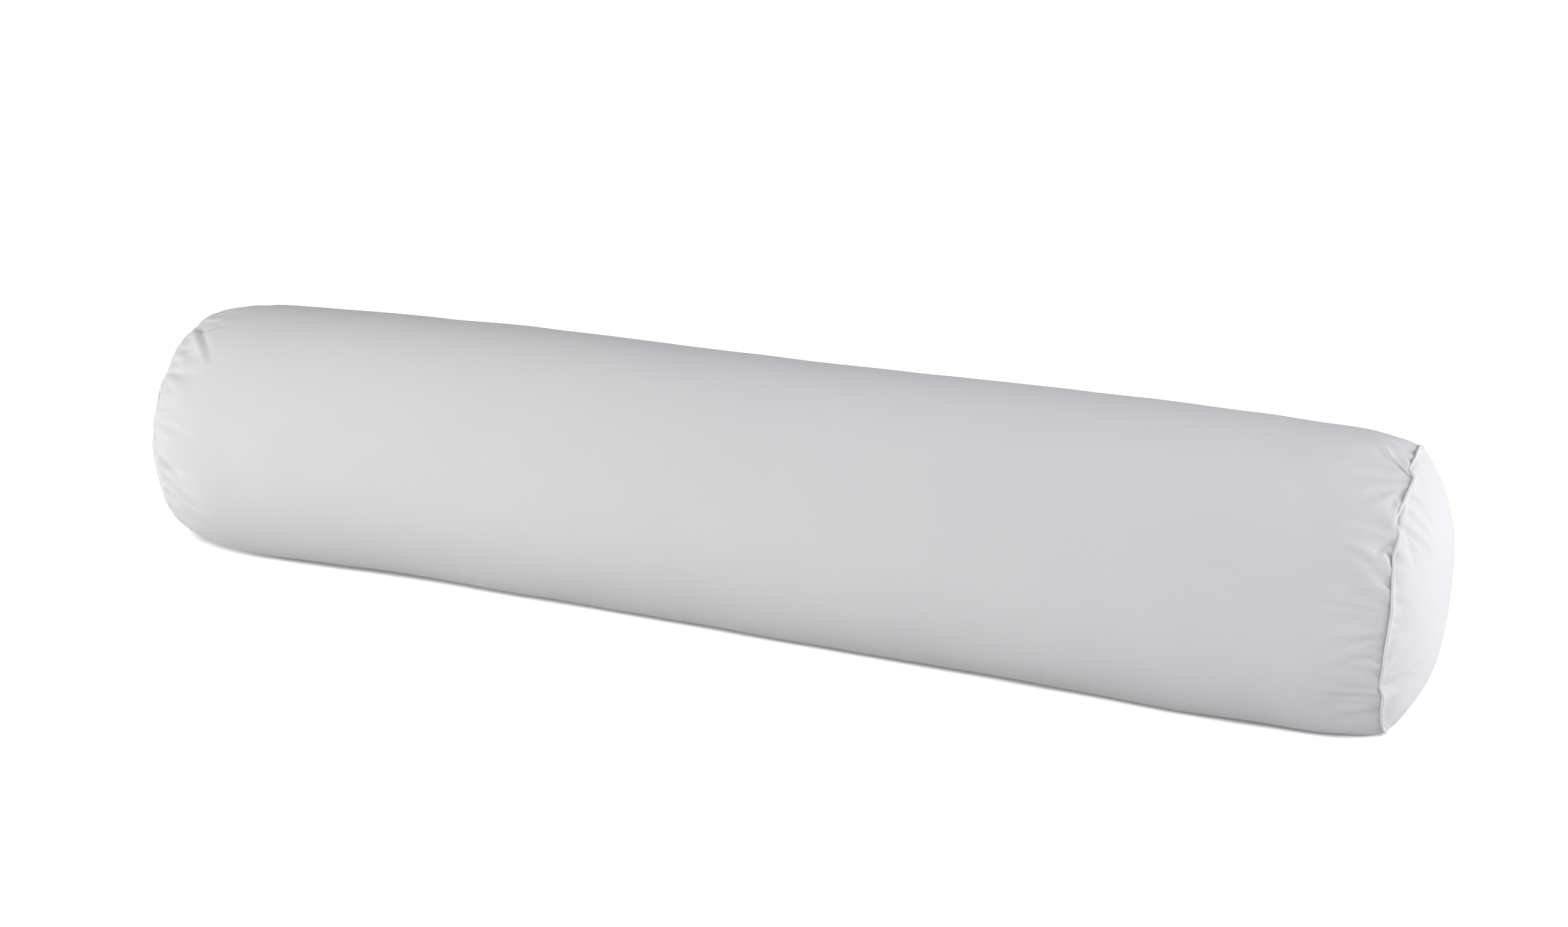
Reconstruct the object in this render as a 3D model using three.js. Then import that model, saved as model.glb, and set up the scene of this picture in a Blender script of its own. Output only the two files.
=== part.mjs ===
// A bolster pillow with piped ends: a percale tube, two end discs, corded piping and a fibre filling.
// Millimetres, +X along the pillow, +Z up, resting on z = 0. The near end is the one at +X.
//
// Every cloth piece is one sheet of real thickness, with its seam allowances turned in. A point on the
// tube is given by its row along the pillow, by "around", the distance from the lengthwise seam, and by
// "depth", how far it lies inside the outer skin. All pieces share these coordinates, so they nest.

import * as THREE from "three";
import { mergeVertices } from "three/addons/utils/BufferGeometryUtils.js";

// Driving dimensions
const RADIUS = 127; // middle of the pillow
const NEAR_RADIUS = 126.5; // full part of the near end
const FAR_RADIUS = 123.5; // the far end is a little slimmer
const HALF_SEAM = 572; // middle of the pillow to the piping
const REST_HEIGHT = 120; // axis above the floor: the filling settles by RADIUS - REST_HEIGHT
const NEAR = { side: 1, seamRadius: 117.5, taper: 65, domeDepth: 39, domePower: 2.8 };
const FAR = { side: -1, seamRadius: 113.5, taper: 81, domeDepth: 36, domePower: 3 };

// The pillow lies in a slight curve, seen from above
const CURVE_SLOPE = -0.0372;
const CURVE_X = -251;
const CURVE_ROUNDING = 120;

// Cloth, seams and gaps
const CLOTH = 0.5;
const GAP = 0.3;
const ALLOWANCE = 10;
const FOLD_RADIUS = 1.8; // where a panel turns in beside the piping
const SLIT = 0.3; // between the two edges of the lengthwise seam
const SEAM_ANGLE = THREE.MathUtils.degToRad(-22.5); // from +Y, below the middle of the back

// Piping
const BIAS_CLOTH = 0.4;
const FLANGE_GAP = 0.2;
const BEAD_RADIUS = 1.2;
const BEAD_RISE = 1.1; // bead's centre above the seam radius
const CORD_RADIUS = 0.55;
const FLANGE_FACE = FLANGE_GAP / 2 + BIAS_CLOTH; // half the thickness of the piping's flange
const PANEL_FACE = FLANGE_FACE + 0.2; // a panel's turned-in face, measured from the seam plane

// Thread, label and filling
const THREAD = 0.4;
const CLOSING = { length: 200, pitch: 8, reach: 1.8, radius: 0.25, lift: 0.6 };
const LABEL = { x: -430, width: 30, drop: 30, start: 1.5, thickness: 0.4 };
const FILLING_DEPTH = 2.6;
const FILLING_END_DEPTH = 1;
const FILLING_NECK = { halfLength: 4, drop: ALLOWANCE + 1.5 };

// Resolution
const AROUND = 32;
const STEP = (2 * Math.PI) / AROUND;
const BODY_ROWS = 9;
const TAPER_ROWS = 4;
const DOME_ROWS = 7;

const TURN = THREE.MathUtils.degToRad;

// ---------------------------------------------------------------- shape of the outer skin

function bodyRadius(x) {
  const s = x / HALF_SEAM;
  const full = (FAR_RADIUS * s * (s - 1)) / 2 + RADIUS * (1 - s * s) + (NEAR_RADIUS * s * (s + 1)) / 2;
  return [NEAR, FAR].reduce((radius, end) => {
    const pinch = Math.max(0, 1 - (HALF_SEAM - end.side * x) / end.taper);
    return radius - (full - end.seamRadius) * pinch ** 2;
  }, full);
}

function sidewaysCurve(x) {
  return CURVE_SLOPE * (Math.hypot(x - CURVE_X, CURVE_ROUNDING) - CURVE_ROUNDING);
}

// A row of the skin: its place in the half-plane through the axis, and its outward direction there
function row(x, radius, outX, outRadius) {
  const length = Math.hypot(outX, outRadius);
  return { x, radius, outX: outX / length, outRadius: outRadius / length };
}

function bodyRow(x) {
  const reach = 0.5;
  const slope = (bodyRadius(x + reach) - bodyRadius(x - reach)) / (2 * reach);
  return row(x, bodyRadius(x), -slope, 1);
}

// Rows from a panel's raw edge, round its fold at the piping, to where the fold meets the panel.
// The fold's angle is 0 where it faces away from the panel's body and grows towards it.
function foldRows(faceX, direction, centreRadius, fromDegrees, toDegrees, steps) {
  const centreX = faceX - direction * FOLD_RADIUS;
  const rows = [row(faceX, centreRadius + FOLD_RADIUS - ALLOWANCE, direction, 0)];
  for (let i = 0; i <= steps; i++) {
    const angle = TURN(fromDegrees + ((toDegrees - fromDegrees) * i) / steps);
    const outX = direction * Math.cos(angle);
    const outRadius = Math.sin(angle);
    rows.push(row(centreX + FOLD_RADIUS * outX, centreRadius + FOLD_RADIUS * outRadius, outX, outRadius));
  }
  return rows;
}

function tubeEndRows(end) {
  const foldEnd = 75;
  const faceX = end.side * (HALF_SEAM - PANEL_FACE);
  const meetX = faceX - end.side * FOLD_RADIUS * (1 - Math.cos(TURN(foldEnd)));
  const centreRadius = bodyRadius(meetX) - FOLD_RADIUS * Math.sin(TURN(foldEnd));
  const rows = foldRows(faceX, end.side, centreRadius, 0, foldEnd, 2);
  for (let i = 1; i <= TAPER_ROWS; i++) {
    rows.push(bodyRow(end.side * (Math.abs(meetX) - end.taper * (i / TAPER_ROWS) ** 1.4)));
  }
  return rows;
}

function tubeRows() {
  const near = tubeEndRows(NEAR);
  const far = tubeEndRows(FAR);
  const from = far.at(-1).x;
  const to = near.at(-1).x;
  const middle = Array.from({ length: BODY_ROWS }, (_, i) =>
    bodyRow(from + ((to - from) * (i + 1)) / (BODY_ROWS + 1)),
  );
  return [...far, ...middle, ...near.reverse()];
}

// Rows of an end disc, from its raw edge to the middle of its dome
function discRows(end) {
  const foldEnd = 138;
  const faceX = end.side * (HALF_SEAM + PANEL_FACE);
  const rows = foldRows(faceX, -end.side, end.seamRadius - FOLD_RADIUS, 0, foldEnd, 4);
  const rim = rows.at(-1);
  const depth = HALF_SEAM + end.domeDepth - Math.abs(rim.x);
  for (let i = 1; i <= DOME_ROWS; i++) {
    const share = 1 - i / DOME_ROWS;
    const slope = (depth * end.domePower * share ** (end.domePower - 1)) / rim.radius;
    const x = rim.x + end.side * depth * (1 - share ** end.domePower);
    rows.push(row(x, rim.radius * share, end.side, slope));
  }
  return rows;
}

// ---------------------------------------------------------------- from the skin to the pillow as it lies

// Moves a point of the straight, round pillow to where it lies: curved from above, flat underneath
function settle(x, y, z, depth) {
  return new THREE.Vector3(x, y + sidewaysCurve(x), Math.max(z, depth - REST_HEIGHT));
}

// A point at a row, at a distance around from the seam, on the facets that all the pieces share
function skinPoint(at, around, depth) {
  const turn = around / RADIUS;
  const fromFacetMiddle = THREE.MathUtils.euclideanModulo(turn, STEP) - STEP / 2;
  const facet = Math.cos(STEP / 2) / Math.cos(fromFacetMiddle);
  const radius = (at.radius - at.outRadius * depth) * facet;
  const angle = SEAM_ANGLE + turn;
  return settle(at.x - at.outX * depth, radius * Math.cos(angle), radius * Math.sin(angle), depth);
}

function closedBody(geometry) {
  geometry.deleteAttribute("normal");
  geometry.deleteAttribute("uv");
  const body = mergeVertices(geometry, 1e-4);
  body.computeVertexNormals();
  return body;
}

// A sheet over rows and stations. A station holds the place of its right face and of its wrong face.
function sheet(rows, stations) {
  const geometry = new THREE.BoxGeometry(1, 1, 1, stations.length - 1, rows.length - 1, 1);
  const position = geometry.attributes.position;
  for (let i = 0; i < position.count; i++) {
    const station = stations[Math.round((position.getX(i) + 0.5) * (stations.length - 1))];
    const at = rows[Math.round((position.getY(i) + 0.5) * (rows.length - 1))];
    const face = position.getZ(i) > 0 ? station.right : station.wrong;
    const point = skinPoint(at, face.around, face.depth);
    position.setXYZ(i, point.x, point.y, point.z);
  }
  return closedBody(geometry);
}

function station(around, rightDepth, wrongDepth) {
  return { right: { around, depth: rightDepth }, wrong: { around, depth: wrongDepth } };
}

// A body of revolution about the pillow's axis. The profile is a list of [x, radius].
function revolved(profile, depth = 0) {
  const points = profile.map(([x, radius]) => new THREE.Vector2(radius, x));
  const geometry = new THREE.LatheGeometry(points, AROUND);
  const position = geometry.attributes.position;
  for (let i = 0; i < position.count; i++) {
    const radius = Math.hypot(position.getX(i), position.getZ(i));
    const angle = SEAM_ANGLE + Math.atan2(position.getX(i), position.getZ(i));
    const point = settle(position.getY(i), radius * Math.cos(angle), radius * Math.sin(angle), depth);
    position.setXYZ(i, point.x, point.y, point.z);
  }
  return closedBody(geometry);
}

function inset(at, depth) {
  return [at.x - at.outX * depth, Math.max(0, at.radius - at.outRadius * depth)];
}

// A ring of revolution with a round section
function hoop(x, radius, sectionRadius, sides) {
  const profile = Array.from({ length: sides + 1 }, (_, i) => {
    const angle = (2 * Math.PI * i) / sides;
    return [x - sectionRadius * Math.sin(angle), radius - sectionRadius * Math.cos(angle)];
  });
  return revolved(profile);
}

// ---------------------------------------------------------------- the pieces

// One rectangle of percale, rolled into a tube. Both long edges fold under at the lengthwise seam.
function tubePanel() {
  const turnCentre = SLIT / 2 + CLOTH + GAP / 2;
  const half = [station(ALLOWANCE, 2 * CLOTH + GAP, CLOTH + GAP)];
  for (let degrees = 180; degrees >= 0; degrees -= 45) {
    const side = -Math.sin(TURN(degrees));
    const down = -Math.cos(TURN(degrees));
    const place = (reach) => ({
      around: turnCentre + side * reach,
      depth: CLOTH + GAP / 2 + down * reach,
    });
    half.push({ right: place(CLOTH + GAP / 2), wrong: place(GAP / 2) });
  }
  half.push(station(ALLOWANCE, 0, CLOTH));
  for (let i = 1; i < AROUND / 2; i++) {
    half.push(station(i * STEP * RADIUS, 0, CLOTH));
  }
  const girth = 2 * Math.PI * RADIUS;
  const mirrored = half.map(({ right, wrong }) => ({
    right: { ...right, around: girth - right.around },
    wrong: { ...wrong, around: girth - wrong.around },
  }));
  return sheet(tubeRows(), [...half, station(girth / 2, 0, CLOTH), ...mirrored.reverse()]);
}

function endPanel(end) {
  const rows = discRows(end);
  const outer = rows.map((at) => inset(at, 0));
  const inner = rows.map((at) => inset(at, CLOTH));
  const profile = [...inner.reverse(), ...outer];
  return revolved(end.side > 0 ? profile : profile.reverse());
}

// A strip of cloth wrapped round the cord, its two plies lying together as a flange in the seam
function pipingSleeve(end) {
  const centre = end.seamRadius + BEAD_RISE;
  const edge = end.seamRadius - ALLOWANCE;
  const seamX = end.side * HALF_SEAM;
  const steps = 6;
  const wrap = (halfFlange, radius) => {
    const start = Math.asin(halfFlange / radius);
    const points = [[seamX - halfFlange, edge]];
    for (let i = 0; i <= steps; i++) {
      const angle = start + ((2 * Math.PI - 2 * start) * i) / steps;
      points.push([seamX - radius * Math.sin(angle), centre - radius * Math.cos(angle)]);
    }
    points.push([seamX + halfFlange, edge]);
    return points;
  };
  const outer = wrap(FLANGE_FACE, BEAD_RADIUS);
  const inner = wrap(FLANGE_GAP / 2, BEAD_RADIUS - BIAS_CLOTH);
  return revolved([...outer, ...inner.reverse(), outer[0]]);
}

function pipingCord(end) {
  return hoop(end.side * HALF_SEAM, end.seamRadius + BEAD_RISE, CORD_RADIUS, 6);
}

// The stitch line of an end seam, on the inner face of the end panel's allowance
function endSeamThread(end) {
  const x = HALF_SEAM + PANEL_FACE + CLOTH + GAP + THREAD / 2;
  return hoop(end.side * x, end.seamRadius - 4, THREAD / 2, 4);
}

function lengthwiseSeamThread() {
  const top = 2 * CLOTH + GAP + GAP;
  const stations = [-THREAD / 2, THREAD / 2].map((around) => station(around, top, top + THREAD));
  const rows = tubeRows().filter((at) => at.outRadius > 0.95);
  return sheet(rows.slice(1, -1), stations);
}

// A whipped thread that closes the gap left in the lengthwise seam for filling
function closingStitchThread() {
  const points = [];
  for (let x = -CLOSING.length / 2; x <= CLOSING.length / 2; x += CLOSING.pitch / 2) {
    const reach = CLOSING.reach * (points.length % 2 ? 1 : -1);
    points.push(skinPoint(bodyRow(x), reach, -CLOSING.lift));
  }
  const section = new THREE.Shape();
  section.absarc(0, 0, CLOSING.radius, 0, 2 * Math.PI);
  return closedBody(
    new THREE.ExtrudeGeometry(section, {
      curveSegments: 3,
      steps: 2 * (points.length - 1),
      extrudePath: new THREE.CatmullRomCurve3(points),
    }),
  );
}

function careLabel() {
  const last = -LABEL.start - LABEL.drop;
  const breaks = [last, -STEP * RADIUS, -ALLOWANCE, -LABEL.start];
  const stations = breaks.map((around) => station(around, -GAP - LABEL.thickness, -GAP));
  const rows = [0, 0.5, 1].map((share) => bodyRow(LABEL.x + LABEL.width * share));
  return sheet(rows, stations);
}

// Loose polyester fibre. It necks in where it passes the seam allowances of each end.
function fibreFilling() {
  const endProfile = (end) => {
    const necks = [1, -1].map((inward) => [
      end.side * (HALF_SEAM + inward * FILLING_NECK.halfLength),
      end.seamRadius - FILLING_NECK.drop,
    ]);
    const dome = discRows(end).slice(-DOME_ROWS).map((at) => inset(at, FILLING_END_DEPTH));
    return [...dome.reverse(), ...necks];
  };
  const body = tubeRows()
    .filter((at) => Math.abs(at.x) < HALF_SEAM - 2 * FILLING_NECK.halfLength)
    .map((at) => inset(at, FILLING_DEPTH));
  return revolved([...endProfile(FAR), ...body, ...endProfile(NEAR).reverse()], FILLING_DEPTH);
}

// ---------------------------------------------------------------- the pillow

const finishes = {
  percale: { color: 0xe9e9ea, roughness: 0.85 },
  piping: { color: 0xefeff0, roughness: 0.8 },
  thread: { color: 0xf4f4f2, roughness: 0.6 },
  label: { color: 0xf6f6f4, roughness: 0.55 },
  cord: { color: 0xe8e4d8, roughness: 0.9 },
  filling: { color: 0xf7f7f5, roughness: 1 },
};

function piece(name, finish, geometry) {
  const material = new THREE.MeshStandardMaterial({ ...finishes[finish], metalness: 0, side: THREE.DoubleSide });
  const mesh = new THREE.Mesh(geometry, material);
  mesh.name = name;
  return mesh;
}

const pieces = [
  piece("tube_panel", "percale", tubePanel()),
  piece("lengthwise_seam_thread", "thread", lengthwiseSeamThread()),
  piece("closing_stitch_thread", "thread", closingStitchThread()),
  piece("care_label", "label", careLabel()),
  piece("fibre_filling", "filling", fibreFilling()),
];
for (const [name, end] of Object.entries({ near: NEAR, far: FAR })) {
  pieces.push(
    piece(`${name}_end_panel`, "percale", endPanel(end)),
    piece(`${name}_piping_sleeve`, "piping", pipingSleeve(end)),
    piece(`${name}_piping_cord`, "cord", pipingCord(end)),
    piece(`${name}_end_seam_thread`, "thread", endSeamThread(end)),
  );
}

// The origin is the middle of the pillow's box, on the floor
const bolster = new THREE.Group();
bolster.add(...pieces);
const box = new THREE.Box3().setFromObject(bolster);
const middle = box.getCenter(new THREE.Vector3());
bolster.position.set(-middle.x, -middle.y, -box.min.z);

export default bolster;
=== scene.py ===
"""A long bolster pillow in white percale cotton, with corded piping round both domed ends.

The cover is sewn from its pattern, a tube and two flat discs of the same radius. Each end is filled by a
cloth simulation: the seam is drawn in to the radius it has on the filled pillow, and the cloth on both
sides of it puckers. The ends are then fitted to the pillow's outline and joined by the plain middle of
the tube. Piping, cords, threads, label and filling are built on that skin. Everything is in metres.
"""

import math
from types import SimpleNamespace

import bpy
import numpy as np
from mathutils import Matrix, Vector


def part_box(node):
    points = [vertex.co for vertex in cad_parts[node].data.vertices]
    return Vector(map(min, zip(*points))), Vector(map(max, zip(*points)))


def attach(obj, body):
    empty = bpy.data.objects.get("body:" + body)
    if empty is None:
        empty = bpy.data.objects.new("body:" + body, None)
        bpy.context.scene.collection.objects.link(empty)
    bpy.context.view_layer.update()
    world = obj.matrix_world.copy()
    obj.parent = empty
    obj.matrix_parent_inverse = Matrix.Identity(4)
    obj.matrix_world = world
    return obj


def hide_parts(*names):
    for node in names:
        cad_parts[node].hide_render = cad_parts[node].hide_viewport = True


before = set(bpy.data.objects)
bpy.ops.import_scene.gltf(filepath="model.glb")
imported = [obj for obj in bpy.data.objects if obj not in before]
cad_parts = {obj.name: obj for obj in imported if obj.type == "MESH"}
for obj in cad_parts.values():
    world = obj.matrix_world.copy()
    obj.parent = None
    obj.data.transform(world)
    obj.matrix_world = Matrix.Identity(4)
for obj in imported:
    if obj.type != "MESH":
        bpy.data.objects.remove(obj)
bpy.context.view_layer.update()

# ------------------------------------------------------------------ the pillow's outline, as in the CAD
RADIUS = 0.127  # at the middle, and of the flat pattern
NEAR_RADIUS = 0.1265  # at either end, were it not drawn in at its seam
FAR_RADIUS = 0.1235
WAIST = 0.0015  # a slight hollow a little past the middle
WAIST_X = 0.088
WAIST_LENGTH = 0.18
CURVE_SLOPE = -0.0372  # the pillow bends forwards on both sides of CURVE_X, with a rounded bend
CURVE_X = -0.251
CURVE_ROUNDING = 0.12


def middle_of(node):
    """The middle of a CAD node's box."""
    low, high = (np.array(corner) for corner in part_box(node))
    return (low + high) / 2


near_ring = middle_of("near_piping_sleeve")
far_ring = middle_of("far_piping_sleeve")
HALF_SEAM = (near_ring[0] - far_ring[0]) / 2
MIDDLE_X = (near_ring[0] + far_ring[0]) / 2
AXIS_HEIGHT = near_ring[2]

# The ends. Angles go from +Y towards +Z, in degrees: 90 is the top and 180 the front.
# Kinks: angle, furthest offset along x, and how many degrees it takes to build up and to go back.
# Folds: angle at the seam, heading away from the tube's length, length, width and height.
NEAR = SimpleNamespace(
    name="near", side=1, seam_radius=0.1162, taper=0.075, dome_depth=0.0365, dome_power=3.0,
    seed=7, slack=0.002, pucker_share=0.7, piping_rise=0.0008,
    kinks=[
        (107, -0.0030, 12, 2), (110, 0.0040, 2, 12), (134, -0.0072, 13, 3), (147, -0.0025, 6, 7),
        (167, 0.0025, 14, 22), (200, -0.0022, 10, 3), (205, 0.0015, 2, 10),
    ],
    folds=[
        (133, -22, 0.040, 0.0060, 0.0006), (139, 0, 0.050, 0.0028, 0.0012), (149, -10, 0.052, 0.0030, 0.0013),
        (160, -2, 0.042, 0.0028, 0.0010), (167, -7, 0.036, 0.0028, 0.0009), (177, 0, 0.046, 0.0030, 0.0010),
        (189, -2, 0.046, 0.0030, 0.0010), (203, -4, 0.048, 0.0030, 0.0011), (213, -6, 0.044, 0.0028, 0.0009),
    ],
)
FAR = SimpleNamespace(
    name="far", side=-1, seam_radius=0.1135, taper=0.098, dome_depth=0.036, dome_power=3.0,
    seed=12, slack=0.0025, pucker_share=0.38, piping_rise=-0.0011,
    kinks=[(110, -0.003, 10, 3), (152, -0.0028, 10, 3), (228, -0.0025, 10, 3)],
    folds=[
        (110, 50, 0.088, 0.0040, 0.0022), (101, 20, 0.034, 0.0045, 0.0006), (126, 40, 0.036, 0.0045, 0.0009),
        (139, 30, 0.032, 0.0045, 0.0008), (179, 42, 0.046, 0.0042, 0.0014), (189, 30, 0.056, 0.0045, 0.0019),
        (199, 27, 0.062, 0.0045, 0.0020), (211, 30, 0.052, 0.0045, 0.0016),
    ],
)


def sideways_curve(x):
    """How far along Y the lying pillow's axis has bent at x."""
    from_bend = x - MIDDLE_X - CURVE_X
    return CURVE_SLOPE * (np.sqrt(from_bend**2 + CURVE_ROUNDING**2) - CURVE_ROUNDING)


AXIS_Y = near_ring[1] - sideways_curve(near_ring[0])


def body_radius(x):
    """The outline's radius at a distance x from the middle of the pillow."""
    s = x / HALF_SEAM
    full = FAR_RADIUS * s * (s - 1) / 2 + RADIUS * (1 - s * s) + NEAR_RADIUS * s * (s + 1) / 2
    radius = full - WAIST * np.exp(-(((x - WAIST_X) / WAIST_LENGTH) ** 2))
    for end in (NEAR, FAR):
        pinch = np.clip(1 - (HALF_SEAM - end.side * x) / end.taper, 0, 1)
        radius = radius - (full - end.seam_radius) * pinch**3
    return radius


# ------------------------------------------------------------------ helpers

def smoothstep(t):
    """0 below 0, 1 above 1, and a smooth rise between."""
    t = np.clip(t, 0, 1)
    return t * t * (3 - 2 * t)


def soft_noise(points, seed, wavelengths, waves=24):
    """A smooth random field of about unit size: a sum of sine waves in random directions."""
    rng = np.random.default_rng(seed)
    directions = rng.normal(size=(waves, 3))
    directions /= np.linalg.norm(directions, axis=1)[:, None]
    lengths = rng.uniform(*wavelengths, waves)
    phases = rng.uniform(0, 2 * np.pi, waves)
    steepness = directions * (2 * np.pi / lengths)[:, None]
    return np.sin(points @ steepness.T + phases).sum(-1) * math.sqrt(2 / waves)


def new_object(name, points, faces, smooth=True):
    """A mesh object in the scene, made from points and faces."""
    mesh = bpy.data.meshes.new(name)
    mesh.from_pydata([tuple(map(float, p)) for p in points], [], [tuple(map(int, f)) for f in faces])
    mesh.update()
    mesh.polygons.foreach_set("use_smooth", [smooth] * len(mesh.polygons))
    obj = bpy.data.objects.new(name, mesh)
    bpy.context.collection.objects.link(obj)
    return obj


def set_uv(obj, coordinates):
    """Stores each vertex's place on the flat cloth, in metres, for the weave."""
    layer = obj.data.uv_layers.new(name="cut")
    corners = np.empty(len(obj.data.loops), dtype=int)
    obj.data.loops.foreach_get("vertex_index", corners)
    layer.data.foreach_set("uv", np.asarray(coordinates)[corners].ravel())


def apply_modifiers(obj):
    """Makes the object's modified shape its own mesh."""
    graph = bpy.context.evaluated_depsgraph_get()
    evaluated = obj.evaluated_get(graph)
    mesh = bpy.data.meshes.new_from_object(evaluated, preserve_all_data_layers=True, depsgraph=graph)
    old = obj.data
    obj.modifiers.clear()
    obj.data = mesh
    bpy.data.meshes.remove(old)
    mesh.name = obj.name


def thicken(obj, thickness):
    """Gives a sheet its thickness, inwards from its right side."""
    solidify = obj.modifiers.new("thickness", "SOLIDIFY")
    solidify.thickness = thickness
    solidify.offset = -1
    solidify.use_rim = True
    apply_modifiers(obj)


# ------------------------------------------------------------------ filling an end: the cloth simulation

COLUMNS = 320  # points round the pillow
ANGLES = 2 * np.pi * np.arange(COLUMNS) / COLUMNS  # from +Y towards +Z
CELL = 0.0024  # the cloth's mesh near the seam, and further away
COARSE_CELL = 0.012
FINE_LENGTH = 0.10
SIM_LENGTH = 0.16  # how much of the tube is simulated with each end
SIM_FRAMES = 18
SEWN_FRAME = 8  # by this frame the seam is drawn in
PUCKERS = 46  # round the seam
CROWDING = 9  # how much closer the puckers sit low at the front than high at the back
CROWDED_ANGLE = math.radians(235)
KINK_SOFTNESS = 4  # rounds of averaging that soften the kinks' corners


def end_pattern():
    """One end as it is cut, its seam at x = 0: the rows of the tube, then the rings of the flat disc."""
    along = [0.0]
    step = CELL
    while along[-1] < SIM_LENGTH:
        if along[-1] > FINE_LENGTH:
            step = min(step * 1.15, COARSE_CELL)
        along.append(along[-1] + step)
    rings = [(-s, RADIUS, COLUMNS) for s in reversed(along)]
    radius, count = RADIUS, COLUMNS
    while True:
        radius -= max(2 * math.pi * radius / count, 0.95 * CELL)
        if radius < 1.5 * CELL:
            break
        if 2 * math.pi * radius / count < 0.55 * CELL:
            count //= 2
        rings.append((0.0, radius, count))
    starts = np.cumsum([0] + [count for _, _, count in rings])
    points = [
        (x, radius * math.cos(angle), radius * math.sin(angle))
        for x, radius, count in rings
        for angle in 2 * np.pi * np.arange(count) / count
    ]
    points.append((0.0, 0.0, 0.0))
    rows = [np.arange(starts[i], starts[i + 1]) for i in range(len(rings))]
    return SimpleNamespace(
        points=np.array(points), rows=rows, centre=len(points) - 1, seam=len(along) - 1,
        distance=np.array(along[::-1]),
    )


def bridge(a, b):
    """Faces between a ring and the next one inwards, which has as many points or half as many."""
    faces = []
    if len(a) == len(b):
        for i in range(len(a)):
            j = (i + 1) % len(a)
            faces.append((a[i], a[j], b[j], b[i]))
        return faces
    for i in range(len(b)):
        j = (i + 1) % len(b)
        a0, a1, a2 = a[2 * i], a[2 * i + 1], a[(2 * i + 2) % len(a)]
        faces += [(a0, a1, b[i]), (a1, b[j], b[i]), (a1, a2, b[j])]
    return faces


def ring_faces(rows, centre=None):
    """Faces over rows of points that close round the pillow, and over the last row's inside if asked."""
    faces = [face for a, b in zip(rows, rows[1:]) for face in bridge(a, b)]
    if centre is not None:
        last = rows[-1]
        faces += [(last[i], last[(i + 1) % len(last)], centre) for i in range(len(last))]
    return faces


def kink(at_degrees, size, ramp, back):
    """A place where the seam steers off its circle and comes back: size is its furthest, along x."""
    off = (np.degrees(ANGLES) - at_degrees + 180) % 360 - 180
    before = np.clip(1 + off / ramp, 0, 1) ** 1.5
    after = np.clip(1 - off / back, 0, 1)
    return size * np.where(off <= 0, before, after)


def seam_wander(end, rng):
    """How the sewn seam leaves a true circle: along x, and outwards."""
    along = sum(kink(*values) for values in end.kinks)
    for _ in range(KINK_SOFTNESS):
        along = (np.roll(along, 1) + 2 * along + np.roll(along, -1)) / 4
    for at in rng.uniform(230, 440, 6):
        along = along + kink(at % 360, rng.choice([-1, 1]) * rng.uniform(0.001, 0.003), 13, 2.5)
    for m in range(2, 14):
        along = along + rng.normal() * 0.00011 / math.sqrt(m) * np.sin(m * ANGLES + rng.uniform(0, 2 * np.pi))
    outwards = sum(
        rng.normal() * 0.0003 * np.sin(m * ANGLES + rng.uniform(0, 2 * np.pi)) for m in range(3, 16)
    )
    return along, outwards


def first_puckers(pattern, rng):
    """Slight waves in the cut cloth, which say where the puckers form."""
    co = pattern.points
    radius = np.hypot(co[:, 1], co[:, 2])
    angle = np.arctan2(co[:, 2], co[:, 1])
    from_seam = np.where(co[:, 0] < 0, -co[:, 0], RADIUS - radius)
    shift = sum(rng.normal() * np.sin(q * angle + rng.uniform(0, 2 * np.pi)) for q in range(1, 9))
    size = 0.75 + 0.15 * sum(
        rng.normal() * np.sin(q * angle + rng.uniform(0, 2 * np.pi)) for q in range(2, 9)
    )
    crowded = PUCKERS * angle + CROWDING * np.sin(angle - CROWDED_ANGLE)
    regular = 0.0008 * size * np.sin(crowded + shift) * np.exp(-from_seam / 0.04)
    uneven = 0.0006 * soft_noise(co, int(rng.integers(1 << 30)), (0.02, 0.06), 60)
    return (regular + uneven * np.exp(-np.abs(co[:, 0]) / 0.05)) * (from_seam > 0)


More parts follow.
